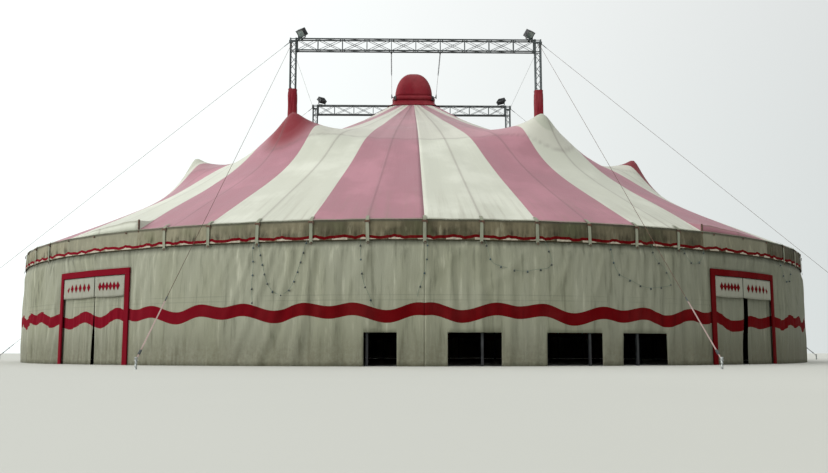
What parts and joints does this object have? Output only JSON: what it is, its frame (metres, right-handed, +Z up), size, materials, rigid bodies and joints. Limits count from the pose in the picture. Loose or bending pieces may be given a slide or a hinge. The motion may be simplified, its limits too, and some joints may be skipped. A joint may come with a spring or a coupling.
{
  "type": "circus big top tent",
  "caption": "Round striped big top: lattice masts and truss arches carry a hoisted cupola; side poles, gathered wall, scalloped valance, curtained entrances, tilting floodlights.",
  "frame": {"origin": "ground level at the middle of the round tent", "axes": "+Z up, -Y towards the front with the two entrances, +X to the right seen from the front"},
  "size_m": [38.26, 37.86, 12.5777],
  "materials": {
    "canopy_fabric": "PVC-coated woven fabric, striped faded red and cream",
    "dark_red_fabric": "PVC-coated woven fabric, dark red",
    "wall_fabric": "weathered woven fabric, gathered",
    "valance_fabric": "weathered woven fabric, dirt stained",
    "banner_fabric": "coated woven fabric, plain white",
    "door_red": "painted, satin",
    "painted_steel": "painted tube, satin grey",
    "galvanised_steel": "galvanised tube",
    "galvanised_rope": "galvanised wire rope",
    "black_steel": "painted black, satin",
    "lamp_housing": "cast housing, painted black, with a clear glass front"
  },
  "bodies": {
    "root": {"arch_truss_front": "painted_steel", "arch_truss_rear": "painted_steel", "canopy_front_left": "canopy_fabric", "canopy_front_right": "canopy_fabric", "canopy_rear_left": "canopy_fabric", "canopy_rear_right": "canopy_fabric", "cupola_collar": "dark_red_fabric", "cupola_dome": "dark_red_fabric", "cupola_hoist_rig": "black_steel", "cupola_ring": "dark_red_fabric", "entrance_banner_left": "banner_fabric", "entrance_banner_right": "banner_fabric", "entrance_curtains_left": "wall_fabric", "entrance_curtains_right": "wall_fabric", "entrance_frame_left": "door_red", "entrance_frame_right": "door_red", "floodlight_bracket_front_left": "black_steel", "floodlight_bracket_front_right": "black_steel", "floodlight_bracket_rear_left": "black_steel", "floodlight_bracket_rear_right": "black_steel", "mast_front_left": "painted_steel", "mast_front_right": "painted_steel", "mast_head_tie_left": "galvanised_rope", "mast_head_tie_right": "galvanised_rope", "mast_rear_left": "painted_steel", "mast_rear_right": "painted_steel", "mast_sleeve_front_left": "dark_red_fabric", "mast_sleeve_front_right": "dark_red_fabric", "mast_sleeve_rear_left": "dark_red_fabric", "mast_sleeve_rear_right": "dark_red_fabric", "mast_stays_front_left": "galvanised_rope", "mast_stays_front_right": "galvanised_rope", "mast_stays_rear_left": "galvanised_rope", "mast_stays_rear_right": "galvanised_rope", "quarter_pole_1": "galvanised_steel", "quarter_pole_2": "galvanised_steel", "quarter_pole_3": "galvanised_steel", "quarter_pole_4": "galvanised_steel", "quarter_pole_5": "galvanised_steel", "quarter_pole_6": "galvanised_steel", "quarter_pole_7": "galvanised_steel", "quarter_pole_8": "galvanised_steel", "side_poles_front_left": "galvanised_steel", "side_poles_front_right": "galvanised_steel", "side_poles_rear_left": "galvanised_steel", "side_poles_rear_right": "galvanised_steel", "side_wall_front_left": "wall_fabric", "side_wall_front_right": "wall_fabric", "side_wall_rear_left": "wall_fabric", "side_wall_rear_right": "wall_fabric", "valance_front_left": "valance_fabric", "valance_front_right": "valance_fabric", "valance_rear_left": "valance_fabric", "valance_rear_right": "valance_fabric"},
    "floodlight_front_left": {"floodlight_head_front_left": "lamp_housing"},
    "floodlight_front_right": {"floodlight_head_front_right": "lamp_housing"},
    "floodlight_rear_left": {"floodlight_head_rear_left": "lamp_housing"},
    "floodlight_rear_right": {"floodlight_head_rear_right": "lamp_housing"}
  },
  "joints": [
    {"name": "floodlight_tilt_front_right", "type": "hinge", "parent": "root", "child": "floodlight_front_right", "pos_m": [4.345, -4.66, 12.44], "axis": [0.7071, 0.7071, 0], "range_deg": [-70, 20]},
    {"name": "floodlight_tilt_rear_right", "type": "hinge", "parent": "root", "child": "floodlight_rear_right", "pos_m": [4.345, 4.66, 12.44], "axis": [-0.7071, 0.7071, 0], "range_deg": [-70, 20]},
    {"name": "floodlight_tilt_rear_left", "type": "hinge", "parent": "root", "child": "floodlight_rear_left", "pos_m": [-4.345, 4.66, 12.44], "axis": [-0.7071, -0.7071, 0], "range_deg": [-70, 20]},
    {"name": "floodlight_tilt_front_left", "type": "hinge", "parent": "root", "child": "floodlight_front_left", "pos_m": [-4.345, -4.66, 12.44], "axis": [0.7071, -0.7071, 0], "range_deg": [-70, 20]}
  ]
}
